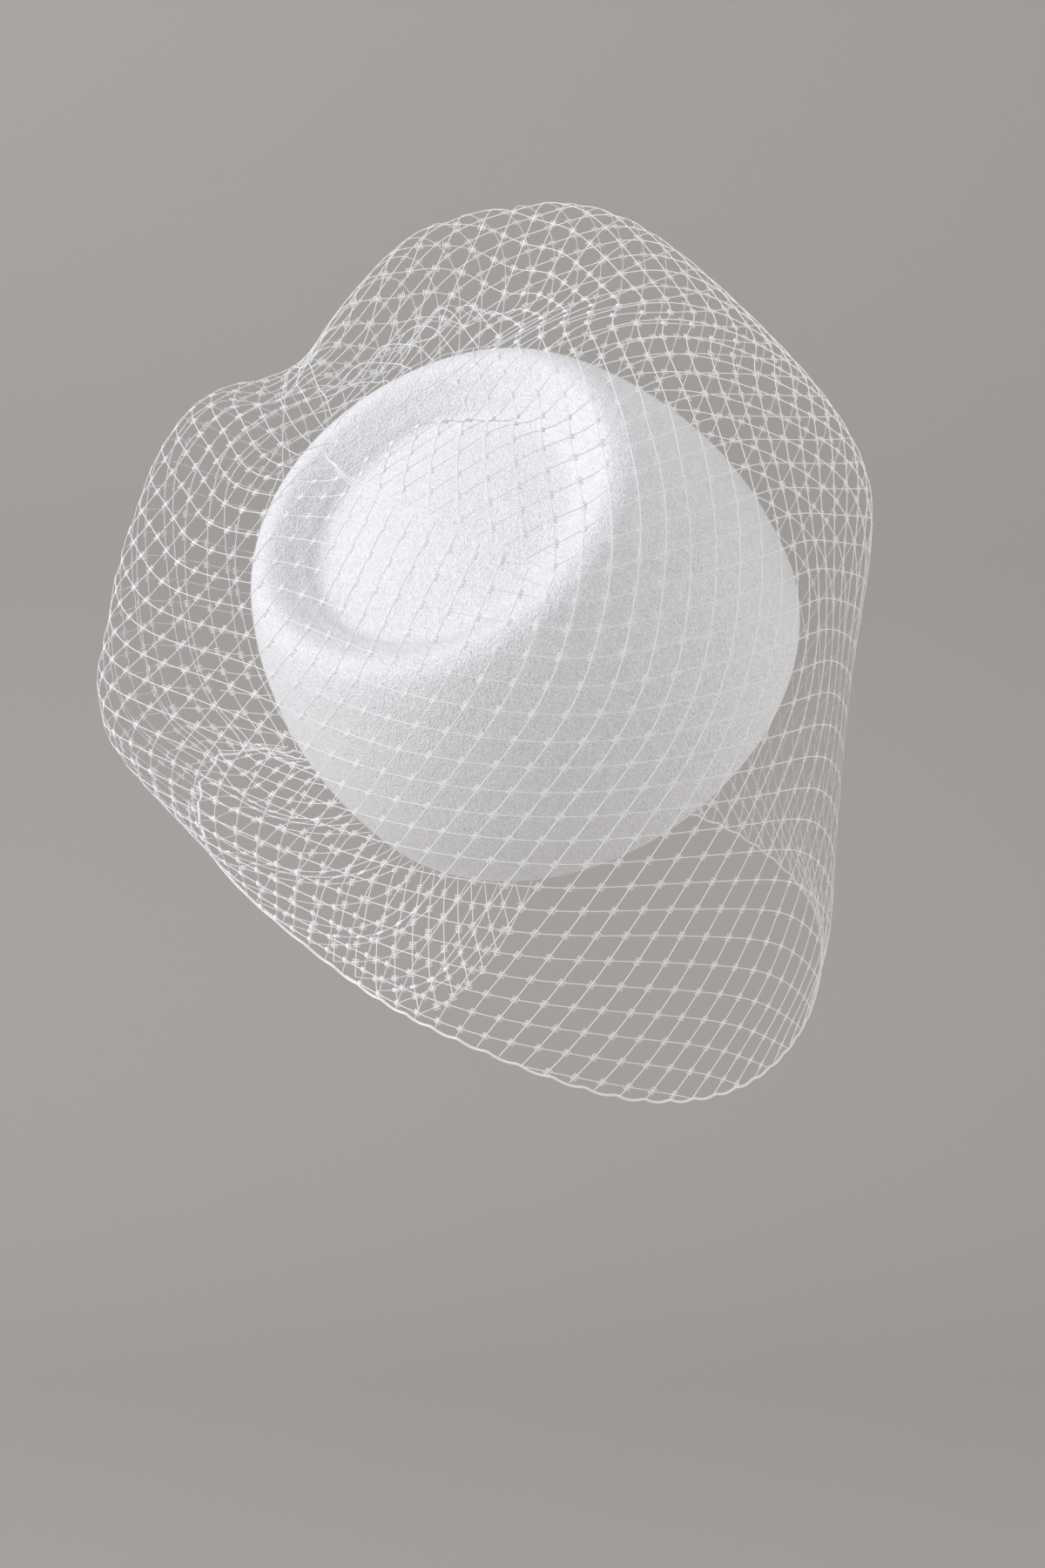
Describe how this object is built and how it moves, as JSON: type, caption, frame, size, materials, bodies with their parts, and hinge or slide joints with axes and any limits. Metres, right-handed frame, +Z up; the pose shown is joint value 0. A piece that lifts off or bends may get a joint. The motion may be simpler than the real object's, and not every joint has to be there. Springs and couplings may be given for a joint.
{
  "type": "pillbox hat with a birdcage veil",
  "caption": "Blocked white felt pillbox hat with a dished oval top, worn leaning, under a gathered birdcage veil of open diamond netting that hangs to chin level.",
  "frame": {"origin": "middle of the head opening, where the hat sits on the wearer's head", "axes": "+Z up as worn, -Y the way the wearer's face looks, +X the wearer's left"},
  "size_m": [0.2591, 0.2399, 0.2764],
  "materials": {
    "felt": "matte white wool felt with a short nap",
    "netting": "fine white knotted netting with a faint sheen"
  },
  "bodies": {
    "root": {"crown": "felt", "veil": "netting"}
  },
  "joints": []
}
